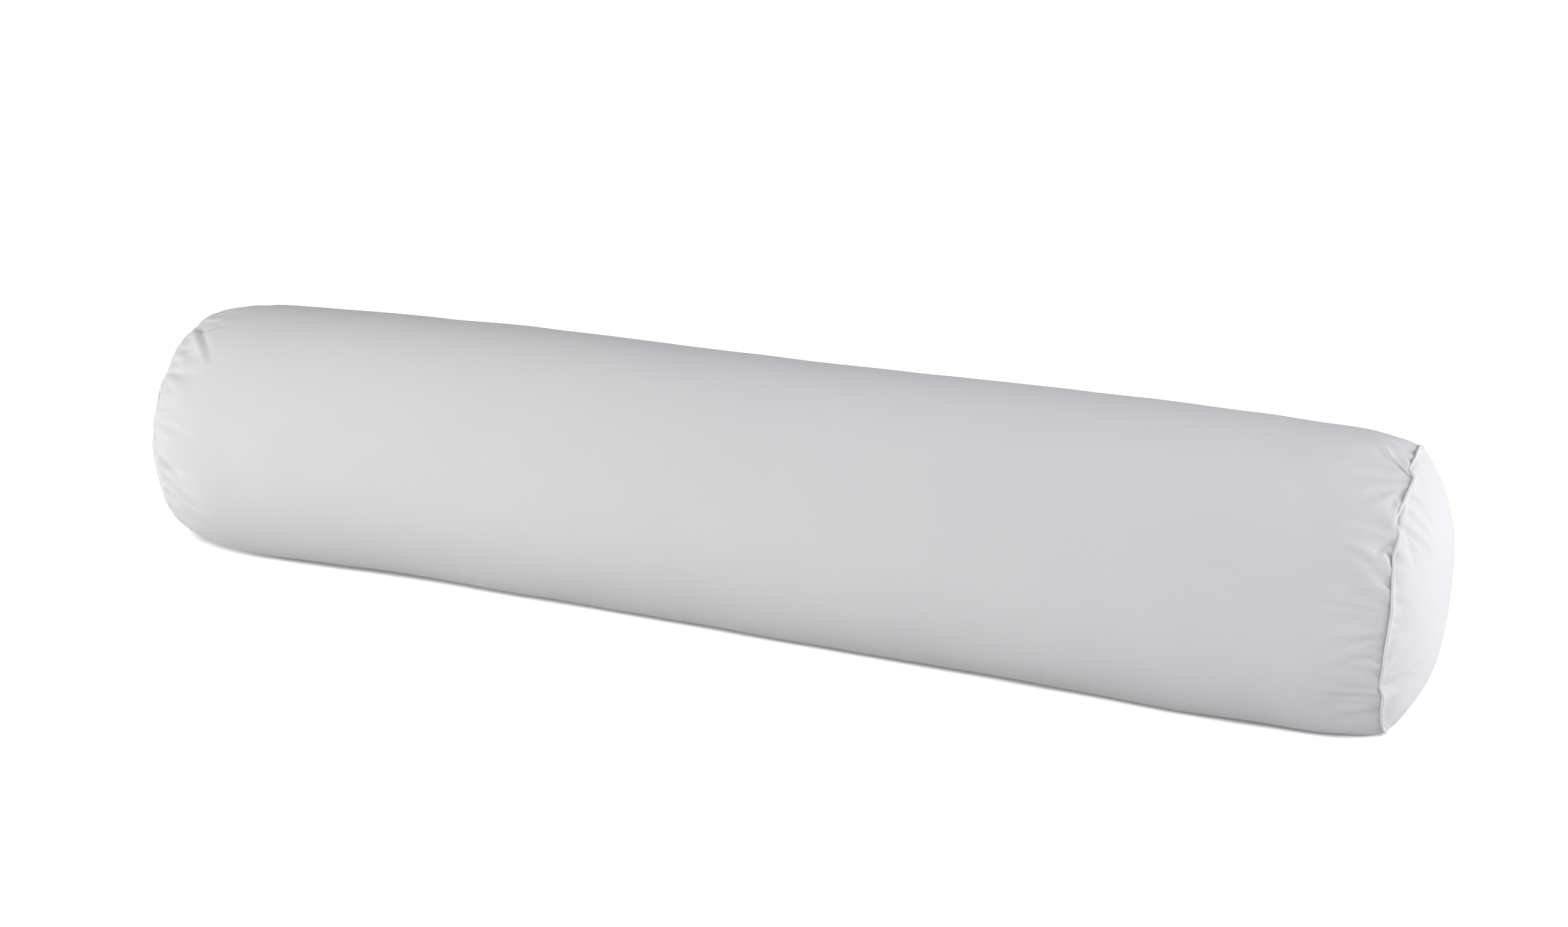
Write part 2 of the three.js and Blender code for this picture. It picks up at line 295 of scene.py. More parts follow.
def fill_end(end, pattern):
    """Runs the simulation and returns the filled end's points."""
    rng = np.random.default_rng(end.seed)
    along, outwards = seam_wander(end, rng)
    waves = first_puckers(pattern, rng)
    start = pattern.points.copy()
    radius = np.maximum(np.hypot(start[:, 1], start[:, 2]), 1e-6)
    on_tube = start[:, 0] < 0
    start[on_tube, 1:] *= (1 + waves / radius)[on_tube, None]
    start[~on_tube, 0] += (waves + 0.002 * (1 - (radius / RADIUS) ** 2))[~on_tube]
    seam = pattern.rows[pattern.seam]
    start[seam] = pattern.points[seam]
    sewn = start.copy()
    drawn = end.seam_radius + outwards
    sewn[seam] = np.column_stack([along - end.slack, drawn * np.cos(ANGLES), drawn * np.sin(ANGLES)])

    obj = new_object(f"{end.name}_filling_run", start, ring_faces(pattern.rows, pattern.centre))
    obj.shape_key_add(name="Basis")
    key = obj.shape_key_add(name="sewn")
    key.data.foreach_set("co", sewn.ravel())
    for value, at in ((0.0, 1), (1.0, SEWN_FRAME)):
        key.value = value
        key.keyframe_insert("value", frame=at)
    held = obj.vertex_groups.new(name="held")
    held.add([int(i) for i in (*pattern.rows[0], *pattern.rows[1], *seam)], 1.0, "REPLACE")
    cloth = obj.modifiers.new("cloth", "CLOTH")
    settings = cloth.settings
    settings.quality = 8
    settings.time_scale = 2
    settings.mass = 0.3
    settings.air_damping = 3
    settings.tension_stiffness = 60
    settings.compression_stiffness = 30
    settings.shear_stiffness = 8
    settings.bending_stiffness = 0.05
    settings.tension_damping = 15
    settings.compression_damping = 15
    settings.shear_damping = 10
    settings.use_pressure = True
    settings.uniform_pressure_force = 20
    settings.vertex_group_mass = "held"
    settings.effector_weights.gravity = 0
    cloth.collision_settings.use_collision = False
    for step in range(1, SIM_FRAMES + 1):
        bpy.context.scene.frame_set(step)
    evaluated = obj.evaluated_get(bpy.context.evaluated_depsgraph_get())
    filled = np.empty(3 * len(start))
    evaluated.data.vertices.foreach_get("co", filled)
    bpy.data.objects.remove(obj)
    bpy.context.scene.frame_set(1)
    return filled.reshape(-1, 3)


# ------------------------------------------------------------------ from the filled ends to the skin

TUBE_FADE = (0.018, 0.050)  # where the puckers start to fade on the tube, and over what length
DISC_FADE = (0.55, 0.42)  # the same on the disc, in shares of its radius, from inside outwards
DISC_SHARE = 0.5  # how much of the disc's puckers is kept beside the seam
PUCKER_GAIN = 0.3  # puckers a little away from the seam are this much deeper than the simulation's
BROAD_WAVES = 14  # the simulation's broad waves round the pillow are toned down: the outline sets those
REST_ROUNDING = 0.0025  # how softly the round turns into the flat underside


def tone_broad(values):
    """A row's values round the pillow, without their broadest waves."""
    waves = np.fft.rfft(values)
    waves *= smoothstep(np.arange(len(waves)) / BROAD_WAVES)
    return np.fft.irfft(waves, len(values))


def settle(x, radius, angle):
    """Puts points of the straight, round pillow where they lie: curved, lumpy and flat underneath."""
    y = radius * np.cos(angle)
    z = radius * np.sin(angle)
    round_points = np.stack([x, y, z], -1)
    lumps = 0.0006 * soft_noise(round_points, 5, (0.16, 0.5))
    lumps = lumps + 0.00025 * soft_noise(round_points, 6, (0.05, 0.12))
    fuller = 1 + lumps / RADIUS
    y, z = y * fuller, z * fuller
    above = z + AXIS_HEIGHT
    z = (above + np.sqrt(above**2 + REST_ROUNDING**2)) / 2
    return np.stack([x, AXIS_Y + y + sideways_curve(x), z], -1)


def fold_height(end, distance, angle):
    """The end's few larger folds, as a height over the outline at a distance from the seam."""
    total = 0.0
    for at, heading, length, width, height in end.folds:
        around = RADIUS * ((angle - math.radians(at) + np.pi) % (2 * np.pi) - np.pi)
        turn = math.radians(heading)
        forward = distance * math.cos(turn) + around * math.sin(turn)
        across = around * math.cos(turn) - distance * math.sin(turn)
        swell = smoothstep(forward / 0.007) * (1 - smoothstep((forward / length - 0.4) / 0.6))
        ridge = np.exp(-((across / width) ** 2)) - 0.8 * np.exp(-((across / width + 1.6) ** 2))
        total = total + height * swell * ridge
    return total


def fitted_end(end, pattern, filled):
    """The filled end on the pillow's outline: for each row, its points where the pillow lies."""
    placed = np.empty_like(filled)
    seam_x = MIDDLE_X + end.side * HALF_SEAM
    polar = np.hypot(filled[:, 1], filled[:, 2])
    ring_radius = polar[pattern.rows[pattern.seam]].mean()
    for i, row in enumerate(pattern.rows):
        angle = np.arctan2(filled[row, 2], filled[row, 1])
        out = polar[row] - polar[row].mean()
        along = filled[row, 0] - filled[row, 0].mean()
        out = tone_broad(out)
        if i < pattern.seam:
            distance = pattern.distance[i]
            x = -distance
            radius = body_radius(end.side * (HALF_SEAM - distance))
            keep = end.pucker_share * (1 - smoothstep((distance - TUBE_FADE[0]) / TUBE_FADE[1]))
            out = out * (1 + PUCKER_GAIN * smoothstep(distance / 0.03))
            radius = radius + fold_height(end, distance, angle)
            along = tone_broad(along)
        elif i == pattern.seam:
            x, radius, keep = 0.0, end.seam_radius, 1.0
        else:
            share = polar[row].mean() / ring_radius
            x = end.dome_depth * (1 - share**end.dome_power)
            radius = end.seam_radius * share
            keep = DISC_SHARE * smoothstep((share - DISC_FADE[0]) / DISC_FADE[1])
            along = tone_broad(along)
        placed[row] = settle(seam_x + end.side * (x + keep * along), radius + keep * out, angle)
    centre_x = seam_x + end.side * end.dome_depth
    placed[pattern.centre] = settle(np.array(centre_x), np.array(0.0), np.array(0.0))
    return placed


pattern = end_pattern()
ends = {end.name: fitted_end(end, pattern, fill_end(end, pattern)) for end in (NEAR, FAR)}

MIDDLE_ROWS = 30  # between the two simulated lengths
inner_reach = HALF_SEAM - pattern.distance[0]
middle_x = np.linspace(-inner_reach, inner_reach, MIDDLE_ROWS + 2)[1:-1]
middle_rows = [
    settle(np.full(COLUMNS, MIDDLE_X + x), np.full(COLUMNS, body_radius(x)), ANGLES) for x in middle_x
]
far_rows = [ends["far"][row] for row in pattern.rows[: pattern.seam + 1]]
near_rows = [ends["near"][row] for row in pattern.rows[: pattern.seam + 1]]
along_cloth = np.concatenate([
    -HALF_SEAM + pattern.distance[::-1], middle_x, HALF_SEAM - pattern.distance,
])
skin = np.array([*far_rows[::-1], *middle_rows, *near_rows])

# The columns are counted from the lengthwise seam, at the back a little below the middle
SEAM_DEGREES = -22.5
seam_column = round(COLUMNS * SEAM_DEGREES / 360) % COLUMNS
skin = np.roll(skin, -seam_column, axis=1)
skin_angles = np.roll(ANGLES, -seam_column)


def grid_normals(grid):
    """The outward directions of a grid that closes round the pillow."""
    around = np.roll(grid, -1, axis=1) - np.roll(grid, 1, axis=1)
    lengthwise = np.gradient(grid, axis=0)
    normals = np.cross(around, lengthwise)
    return normals / np.linalg.norm(normals, axis=-1)[..., None]


skin_normals = grid_normals(skin)

# ------------------------------------------------------------------ the cover's panels

CLOTH = 0.00035  # its thickness
COLUMN_WIDTH = 2 * math.pi * RADIUS / COLUMNS  # on the flat pattern
TURN_IN = (0.0012, 0.004, 0.009)  # rows of the allowance, inside the end seams
PANEL_GAP = 0.0006  # from the middle of the seam to a panel's allowance


def inwards(angles):
    """The directions towards the axis."""
    return np.stack([np.zeros_like(angles), -np.cos(angles), -np.sin(angles)], -1)


def turned_in(ring, side, angles):
    """The rows of an allowance, from the seam inwards, and which way their right side faces."""
    rows = [ring + np.array([-side * PANEL_GAP, 0, 0]) + inwards(angles) * depth for depth in TURN_IN]
    return rows, [np.broadcast_to([side, 0.0, 0.0], ring.shape)] * len(rows)


def tube_columns():
    """The tube panel's columns: place counted in columns from the lengthwise seam, and depth."""
    fold = [  # the turnings of the lengthwise seam, from the raw edge: away from the seam, and depth
        (0.0090, 0.0013), (0.0045, 0.0013), (0.0012, 0.0013), (0.0005, 0.0011),
        (0.00012, 0.0007), (0.0004, 0.00025), (0.0012, 0.0),
    ]
    half = [(around / COLUMN_WIDTH, depth) for around, depth in fold]
    mirrored = [(COLUMNS - place, depth) for place, depth in reversed(half)]
    return half + [(float(i), 0.0) for i in range(1, COLUMNS)] + mirrored


def at_column(grid, place):
    """The grid's column at a place that may lie between two."""
    low = int(math.floor(place)) % COLUMNS
    share = place - math.floor(place)
    return grid[:, low] * (1 - share) + grid[:, (low + 1) % COLUMNS] * share


def tube_panel_cloth():
    """The tube, with its end allowances turned in and its lengthwise edges folded under."""
    far_in, far_facing = turned_in(skin[0], -1, skin_angles)
    near_in, near_facing = turned_in(skin[-1], 1, skin_angles)
    grid = np.array([*far_in[::-1], *skin, *near_in])
    facing = np.array([*far_facing[::-1], *skin_normals, *near_facing])
    columns = tube_columns()
    points = np.stack([
        at_column(grid, place) - at_column(facing, place) * depth for place, depth in columns
    ], 1)
    rows, width = points.shape[:2]
    index = np.arange(rows * width).reshape(rows, width)
    faces = np.stack([index[:-1, :-1], index[:-1, 1:], index[1:, 1:], index[1:, :-1]], -1).reshape(-1, 4)
    obj = new_object("tube_panel_cloth", points.reshape(-1, 3), faces)
    lengthwise = np.concatenate([
        along_cloth[0] - np.array(TURN_IN)[::-1], along_cloth, along_cloth[-1] + np.array(TURN_IN),
    ])
    around = np.array([place * COLUMN_WIDTH for place, _ in columns])
    set_uv(obj, np.stack(np.meshgrid(around, lengthwise), -1).reshape(-1, 2))
    thicken(obj, CLOTH)
    return obj


def end_panel_cloth(end):
    """A domed disc, with its allowance turned in."""
    placed = ends[end.name]
    disc_rows = pattern.rows[pattern.seam:]
    ring = placed[disc_rows[0]]
    allowance, _ = turned_in(ring, -end.side, ANGLES)
    domed = [placed[row] for row in disc_rows]
    points = np.concatenate([*allowance[::-1], *domed, placed[pattern.centre][None]])
    counts = [COLUMNS] * len(allowance) + [len(row) for row in disc_rows]
    starts = np.cumsum([0] + counts)
    rows = [np.arange(starts[i], starts[i + 1]) for i in range(len(counts))]
    faces = ring_faces(rows, len(points) - 1)
    if end.side < 0:
        faces = [face[::-1] for face in faces]
    obj = new_object(f"{end.name}_end_panel_cloth", points, faces)
    flat = pattern.points[:, 1:]
    outer = [flat[disc_rows[0]] * (1 + depth / RADIUS) for depth in reversed(TURN_IN)]
    inner = [flat[row] for row in disc_rows]
    set_uv(obj, np.concatenate([*outer, *inner, flat[pattern.centre][None]]))
    thicken(obj, CLOTH)
    return obj


# ------------------------------------------------------------------ piping, cords and threads

def closed_path(points, times):
    """A closed loop through the points, with that many times as many, rounded between them."""
    before, after, later = np.roll(points, 1, 0), np.roll(points, -1, 0), np.roll(points, -2, 0)
    steps = []
    for i in range(times):
        t = i / times
        steps.append(0.5 * (
            2 * points + (after - before) * t + (2 * before - 5 * points + 4 * after - later) * t**2
            + (3 * points - before - 3 * after + later) * t**3
        ))
    return np.stack(steps, 1).reshape(-1, 3)


def sweep(name, path, outwards, section, closed=True):
    """A solid of the section, [sideways, outwards] points, carried along the path."""
    tangent = np.roll(path, -1, 0) - np.roll(path, 1, 0) if closed else np.gradient(path, axis=0)
    tangent /= np.linalg.norm(tangent, axis=1)[:, None]
    side = np.cross(tangent, outwards)
    side /= np.linalg.norm(side, axis=1)[:, None]
    up = np.cross(side, tangent)
    section = np.asarray(section)
    if section.ndim == 2:
        section = np.broadcast_to(section, (len(path), *section.shape))
    points = path[:, None] + side[:, None] * section[..., :1] + up[:, None] * section[..., 1:]
    count, sides = section.shape[:2]
    index = np.arange(count * sides).reshape(count, sides)
    ahead = np.roll(index, -1, 0) if closed else index[1:]
    here = index if closed else index[:-1]
    faces = np.stack([here, np.roll(here, -1, 1), np.roll(ahead, -1, 1), ahead], -1).reshape(-1, 4).tolist()
    if not closed:
        faces += [index[0][::-1].tolist(), index[-1].tolist()]
    return new_object(name, points.reshape(-1, 3), faces)


def round_section(radius, sides):
    """A round section for sweep."""
    turn = 2 * np.pi * np.arange(sides) / sides
    return np.column_stack([radius * np.cos(turn), radius * np.sin(turn)])


BEAD_RADIUS = 0.0013  # the sleeve's outer radius
BIAS_CLOTH = 0.0003  # the sleeve's thickness
FLANGE = 0.008  # the piping's tail, sewn in between the panels' allowances
CORD_RADIUS = 0.00062
CORD_LAY = 0.006  # the length in which the cord's strands turn once
STITCH = 0.003  # the length of a machine stitch
STITCH_DIP = 0.00012  # how far a stitch bends in and out of the cloth
THREAD_RADIUS = 0.00015


def seam_path(end):
    """The seam ring, and the direction that its piping stands out in."""
    placed = ends[end.name]
    ring = placed[pattern.rows[pattern.seam]]
    tube_side = placed[pattern.rows[pattern.seam - 2]]
    disc_side = placed[pattern.rows[pattern.seam + 2]]
    tangent = np.roll(ring, -1, 0) - np.roll(ring, 1, 0)
    out = np.cross(tangent, tube_side - ring) * -end.side
    out /= np.linalg.norm(out, axis=1)[:, None]
    out_disc = np.cross(tangent, disc_side - ring) * end.side
    out_disc /= np.linalg.norm(out_disc, axis=1)[:, None]
    both = out + out_disc
    for _ in range(4):
        both = (np.roll(both, 1, 0) + 2 * both + np.roll(both, -1, 0)) / 4
    both /= np.linalg.norm(both, axis=1)[:, None]
    return ring, both


def piping_sleeve(end):
    """The bias strip: a bead round the cord, and its two edges laid together as the flange."""
    ring, out = seam_path(end)
    path = closed_path(ring + out * end.piping_rise, 2)
    facing = np.repeat(out, 2, 0)
    half_flange = 0.0004
    half_gap = 0.0001  # between the two edges

    def wrap(half, radius, steps):
        start = math.asin(half / radius)
        turn = np.linspace(start, 2 * np.pi - start, steps)
        bead = np.column_stack([-radius * np.sin(turn), -radius * np.cos(turn)])
        return np.vstack([[-half, -FLANGE], bead, [half, -FLANGE]])

    outer = wrap(half_flange, BEAD_RADIUS, 13)
    inner = wrap(half_gap, BEAD_RADIUS - BIAS_CLOTH, 9)
    section = np.vstack([outer, inner[::-1]])
    return sweep(f"{end.name}_piping_sleeve_cloth", path, facing, section)


def piping_cord(end):
    """Three strands laid together, inside the sleeve."""
    ring, out = seam_path(end)
    path = closed_path(ring + out * end.piping_rise, 2)
    facing = np.repeat(out, 2, 0)
    turn = 2 * np.pi * np.arange(12) / 12
    length = np.arange(len(path)) * (2 * math.pi * end.seam_radius / len(path))
    twist = (2 * np.pi * length / CORD_LAY)[:, None]
    strands = CORD_RADIUS * (1 + 0.12 * np.cos(3 * (turn[None] + twist)))
    section = np.stack([strands * np.cos(turn), strands * np.sin(turn)], -1)
    return sweep(f"{end.name}_piping_cord_strands", path, facing, section)


def end_seam_thread(end):
    """The machine stitches of an end seam, on the inner side of the end panel's allowance."""
    ring, _ = seam_path(end)
    path = closed_path(ring, 4)
    angles = np.linspace(0, 2 * np.pi, len(path), endpoint=False)
    stitches = round(2 * math.pi * end.seam_radius / STITCH)
    path = path + inwards(angles) * 2 * BEAD_RADIUS
    beside = PANEL_GAP + CLOTH + 0.0004 + STITCH_DIP * np.cos(stitches * angles)
    path[:, 0] += end.side * beside
    return sweep(f"{end.name}_end_seam_stitches", path, -inwards(angles), round_section(THREAD_RADIUS, 6))


def seam_line(depth, around, xs):
    """Points near the lengthwise seam, at a depth and a way round from it, and their outward directions."""
    places = np.broadcast_to(np.asarray(around, float) / COLUMN_WIDTH, xs.shape)
    points, normals = [], []
    rows = np.interp(xs, along_cloth, np.arange(len(along_cloth)))
    for row, place in zip(rows, places):
        low, column = int(row), int(math.floor(place))
        t, u = row - low, place - column
        high = min(low + 1, len(skin) - 1)
        c0, c1 = column % COLUMNS, (column + 1) % COLUMNS
        weights = (
            (low, c0, (1 - t) * (1 - u)), (low, c1, (1 - t) * u), (high, c0, t * (1 - u)), (high, c1, t * u),
        )
        points.append(sum(skin[r, c] * w for r, c, w in weights))
        normals.append(sum(skin_normals[r, c] * w for r, c, w in weights))
    points, normals = np.array(points), np.array(normals)
    return points - normals * np.broadcast_to(depth, xs.shape)[:, None], normals


def lengthwise_seam_thread():
    """The machine stitches that close the tube, under its folded edges."""
    xs = np.linspace(-HALF_SEAM + 0.012, HALF_SEAM - 0.012, 1400)
    depth = 0.0021 + STITCH_DIP * np.cos(2 * np.pi * xs / STITCH)
    path, out = seam_line(depth, 0.0, xs)
    return sweep("lengthwise_seam_stitches", path, out, round_section(THREAD_RADIUS, 6), closed=False)


def closing_stitch_thread():
    """Hand whipping over the two folded edges, where the pillow was filled."""
    length, pitch, per_stitch = 0.2, 0.004, 12
    turns = np.arange(0, length / pitch, 1 / per_stitch)
    rng = np.random.default_rng(31)
    count = int(length / pitch) + 2
    uneven = np.interp(turns, np.arange(count), rng.normal(0, 0.12, count))
    xs = -length / 2 + (turns + uneven) * pitch
    around = 0.0017 * (1 + uneven) * np.sin(2 * np.pi * turns)
    depth = 0.00035 - 0.00065 * np.cos(2 * np.pi * turns)
    path, out = seam_line(depth, around, xs)
    return sweep("closing_stitches", path, out, round_section(0.0002, 8), closed=False)


# ------------------------------------------------------------------ label and filling

FILLING_GAP = 0.0065  # inside the cover
FILLING_GAP_AT_ENDS = 0.0095  # more, where the cover puckers


def care_label():
    """A blank woven label, folded double, its ends caught in the lengthwise seam."""
    low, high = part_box("care_label")
    xs = np.linspace(low[0], high[0], 13) - MIDDLE_X
    reach = np.concatenate([[0.0, 0.0006], np.linspace(0.0018, 0.031, 18)])
    curl = 0.0022 * smoothstep(np.linspace(-0.2, 1, 18)) ** 2
    height = np.concatenate([[-0.0006, 0.0002], 0.0005 + curl])
    across = np.linspace(-1, 1, 13)
    rows = []
    for distance, rise in zip(reach, height):
        corner = 0.0016 * (distance / reach[-1]) ** 3 * (across + 0.3) ** 2
        points, _ = seam_line(-(rise + corner), -distance, xs)
        rows.append(points)
    grid = np.array(rows)
    index = np.arange(grid.shape[0] * grid.shape[1]).reshape(grid.shape[:2])
    faces = np.stack([index[:-1, :-1], index[1:, :-1], index[1:, 1:], index[:-1, 1:]], -1).reshape(-1, 4)
    obj = new_object("care_label_woven", grid.reshape(-1, 3), faces[:, ::-1])
    set_uv(obj, np.stack(np.meshgrid(xs, reach), -1).reshape(-1, 2))
    thicken(obj, 0.0005)
    bevel = obj.modifiers.new("edge", "BEVEL")
    bevel.width = 0.00015
    bevel.limit_method = "ANGLE"
    apply_modifiers(obj)
    return obj


def filling_end(end):
    """The filling's profile at an end, from the dome's middle to the tube, as places along x and radii."""
    dome = []
    for share in np.linspace(0.08, 0.9, 10):
        depth = end.dome_depth * (1 - share**end.dome_power) - 0.004
        dome.append((end.side * (HALF_SEAM + depth), end.seam_radius * share - 0.004))
    neck = [(end.side * (HALF_SEAM + off), end.seam_radius - 0.0125) for off in (0.004, -0.006)]
    places = end.side * (HALF_SEAM - np.linspace(0.018, 0.12, 10))
    return dome + neck + [(x, body_radius(x) - FILLING_GAP_AT_ENDS) for x in places]


def fibre_filling():
    """The loose fibre: a lumpy body a few millimetres inside the cover, necked at the end seams."""
    sides = 96
    turn = 2 * np.pi * np.arange(sides) / sides
    middle = [(x, body_radius(x) - FILLING_GAP) for x in np.linspace(-0.43, 0.43, 50)]
    profile = filling_end(FAR) + middle + filling_end(NEAR)[::-1]
    points = np.concatenate([
        settle(np.full(sides, MIDDLE_X + x), np.full(sides, max(radius, 0.001)), turn)
        for x, radius in profile
    ])
    inward = np.array([0, AXIS_Y, AXIS_HEIGHT]) - points
    inward[:, 0] = 0
    inward /= np.linalg.norm(inward, axis=1)[:, None]
    lumps = 0.0011 * soft_noise(points, 21, (0.02, 0.07), 48)
    lumps = lumps + 0.0004 * soft_noise(points, 22, (0.006, 0.015), 48)
    points = points + inward * (0.001 + lumps)[:, None]
    points[:, 2] = np.maximum(points[:, 2], 0.0035)
    tips = np.array([points[:sides].mean(0), points[-sides:].mean(0)]) + [[-0.001, 0, 0], [0.001, 0, 0]]
    index = np.arange(len(points)).reshape(-1, sides)
    faces = np.stack([index[:-1], np.roll(index[:-1], -1, 1), np.roll(index[1:], -1, 1), index[1:]], -1)
    faces = faces.reshape(-1, 4).tolist()
    first, last = index[0], index[-1]
    for i in range(sides):
        j = (i + 1) % sides
        faces += [(first[j], first[i], len(points)), (last[i], last[j], len(points) + 1)]
    return new_object("fibre_filling_wadding", np.vstack([points, tips]), faces)


# ------------------------------------------------------------------ materials

def material(name, color, roughness, sheen=0.0):
    """A plain material, with its nodes and its shader."""
    mat = bpy.data.materials.new(name)
    mat.use_nodes = True
    shader = mat.node_tree.nodes["Principled BSDF"]
    shader.inputs["Base Color"].default_value = (*color, 1)
    shader.inputs["Roughness"].default_value = roughness
    shader.inputs["Sheen Weight"].default_value = sheen
    shader.inputs["Sheen Roughness"].default_value = 0.45
    shader.inputs["Specular IOR Level"].default_value = 0.25
    return mat, mat.node_tree, shader


def node(tree, kind, inputs=None, **settings):
    """A node whose inputs are linked to sockets or set to values."""
    made = tree.nodes.new(kind)
    for key, value in settings.items():
        setattr(made, key, value)
    for key, value in (inputs or {}).items():
        if isinstance(value, bpy.types.NodeSocket):
            tree.links.new(value, made.inputs[key])
        else:
            made.inputs[key].default_value = value
    return made


def math_node(tree, operation, a, b=0.0):
    """The result of one sum, as a socket."""
    return node(tree, "ShaderNodeMath", {0: a, 1: b}, operation=operation).outputs[0]


def noise(tree, vector, scale, detail, **inputs):
    """A noise texture's value, as a socket."""
    inputs = {"Vector": vector, "Scale": scale, "Detail": detail, **inputs}
    return node(tree, "ShaderNodeTexNoise", inputs).outputs["Fac"]


def layered_bumps(tree, shader, layers):
    """Roughens the shader's surface by layers of height, strength and depth, one over the other."""
    normal = None
    for height, strength, depth in layers:
        inputs = {"Height": height, "Strength": strength, "Distance": depth}
        if normal:
            inputs["Normal"] = normal
        normal = node(tree, "ShaderNodeBump", inputs).outputs[0]
    tree.links.new(normal, shader.inputs["Normal"])


def weave_height(tree, vector, pitch):
    """Plain weave: warp and weft threads pass over each other in turn."""
    split = node(tree, "ShaderNodeSeparateXYZ", {0: vector})
    waves = [
        math_node(tree, "SINE", math_node(tree, "MULTIPLY", split.outputs[axis], math.pi / pitch))
        for axis in (0, 1)
    ]
    crossing = math_node(tree, "MULTIPLY", waves[0], waves[1])
    return math_node(tree, "MULTIPLY", crossing, crossing)


def tint(tree, shader, factor, low, high):
    """Colours the shader between two colours by a factor."""
    mix = node(tree, "ShaderNodeMix", {"Factor": factor, "A": (*low, 1), "B": (*high, 1)}, data_type="RGBA")
    tree.links.new(mix.outputs["Result"], shader.inputs["Base Color"])


def cotton(name, low, high, pitch, weave_depth, slub_depth, crease_depth, roughness=0.86):
    """Woven cotton: plain weave, uneven yarns, faint pressed creases and a slight change of tone."""
    mat, tree, shader = material(name, high, roughness, sheen=0.12)
    cut = node(tree, "ShaderNodeUVMap", uv_map="cut").outputs[0]
    place = node(tree, "ShaderNodeTexCoord").outputs["Object"]
    tone = noise(tree, place, 5.0, 3.0, Roughness=0.55)
    yarn_sets = []
    for stretch in ((2500, 45, 1), (45, 2500, 1)):
        scaled = node(tree, "ShaderNodeVectorMath", {0: cut, 1: stretch}, operation="MULTIPLY").outputs[0]
        yarn_sets.append(noise(tree, scaled, 1.0, 1.0))
    yarns = math_node(tree, "ADD", *yarn_sets)
    broad_shade = math_node(tree, "MULTIPLY", tone, 0.7)
    yarn_shade = math_node(tree, "MULTIPLY", yarns, 0.15)
    tint(tree, shader, math_node(tree, "ADD", broad_shade, yarn_shade), low, high)
    rough = node(tree, "ShaderNodeMapRange", {
        "Value": tone, "To Min": roughness - 0.05, "To Max": roughness + 0.05,
    })
    tree.links.new(rough.outputs[0], shader.inputs["Roughness"])
    creases = noise(tree, place, 22.0, 4.0, Roughness=0.5, Distortion=0.6)
    layered_bumps(tree, shader, [
        (weave_height(tree, cut, pitch), 1.0, weave_depth), (yarns, 1.0, slub_depth),
        (creases, 1.0, crease_depth),
    ])
    return mat


def yarn_material(name, color, twist_pitch, roughness):
    """Twisted yarn: fine diagonal ridges and a little unevenness."""
    mat, tree, shader = material(name, color, roughness, sheen=0.1)
    place = node(tree, "ShaderNodeTexCoord").outputs["Object"]
    twist = node(
        tree, "ShaderNodeTexWave", {"Vector": place, "Scale": 0.314 / twist_pitch, "Distortion": 0.6},
        bands_direction="DIAGONAL",
    ).outputs["Fac"]
    fuzz = noise(tree, place, 1800.0, 2.0)
    tint(tree, shader, twist, tuple(0.88 * c for c in color), color)
    layered_bumps(tree, shader, [(twist, 0.6, 0.0001), (fuzz, 0.5, 0.00006)])
    return mat


def wadding_material():
    """Fluffy polyester fibre: tangled fine strands."""
    mat, tree, shader = material("polyester_wadding", (0.9, 0.9, 0.89), 0.95, sheen=0.4)
    place = node(tree, "ShaderNodeTexCoord").outputs["Object"]
    strands = noise(tree, place, 420.0, 6.0, Distortion=2.5)
    clumps = noise(tree, place, 45.0, 4.0)
    tint(tree, shader, clumps, (0.8, 0.8, 0.79), (0.93, 0.93, 0.92))
    layered_bumps(tree, shader, [(clumps, 0.8, 0.002), (strands, 0.9, 0.0006)])
    return mat


percale = cotton(
    "white_percale", (0.75, 0.75, 0.76), (0.80, 0.80, 0.81),
    pitch=0.00036, weave_depth=0.00003, slub_depth=0.00003, crease_depth=0.0003,
)
bias_tape = cotton(
    "piping_percale", (0.80, 0.80, 0.80), (0.85, 0.85, 0.85),
    pitch=0.00036, weave_depth=0.00004, slub_depth=0.00003, crease_depth=0.0001,
)
label_satin = cotton(
    "label_satin", (0.84, 0.84, 0.83), (0.88, 0.88, 0.87),
    pitch=0.0005, weave_depth=0.00006, slub_depth=0.00002, crease_depth=0.0002, roughness=0.5,
)
sewing_thread = yarn_material("sewing_thread", (0.88, 0.88, 0.87), 0.0004, 0.6)
cord_cotton = yarn_material("cord_cotton", (0.8, 0.77, 0.7), 0.0009, 0.9)
wadding = wadding_material()

# ------------------------------------------------------------------ building the pieces and hiding the CAD nodes they stand for

def declare(piece, node_name, finish):
    """Hides the CAD node that a piece stands for, gives the piece its material and hangs it under the root
    body.
    """
    piece.data.materials.clear()
    piece.data.materials.append(finish)
    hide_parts(node_name)
    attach(piece, "root")


tube_cloth = tube_panel_cloth()
declare(tube_cloth, "tube_panel", percale)
for end in (NEAR, FAR):
    panel = end_panel_cloth(end)
    declare(panel, f"{end.name}_end_panel", percale)
    declare(piping_sleeve(end), f"{end.name}_piping_sleeve", bias_tape)
    declare(piping_cord(end), f"{end.name}_piping_cord", cord_cotton)
    declare(end_seam_thread(end), f"{end.name}_end_seam_thread", sewing_thread)
declare(lengthwise_seam_thread(), "lengthwise_seam_thread", sewing_thread)
declare(closing_stitch_thread(), "closing_stitch_thread", sewing_thread)
declare(care_label(), "care_label", label_satin)
filling = fibre_filling()
declare(filling, "fibre_filling", wadding)

# ------------------------------------------------------------------ floor, light and camera

FLOOR_GLOW = (0.05, 0.93)  # under the pillow, and far from it
BOUNCE = 0.6  # how much of the light the grey card sends back
SOFTBOX_DISTANCE = 4.0
SOFTBOX_SIZE = 2.2


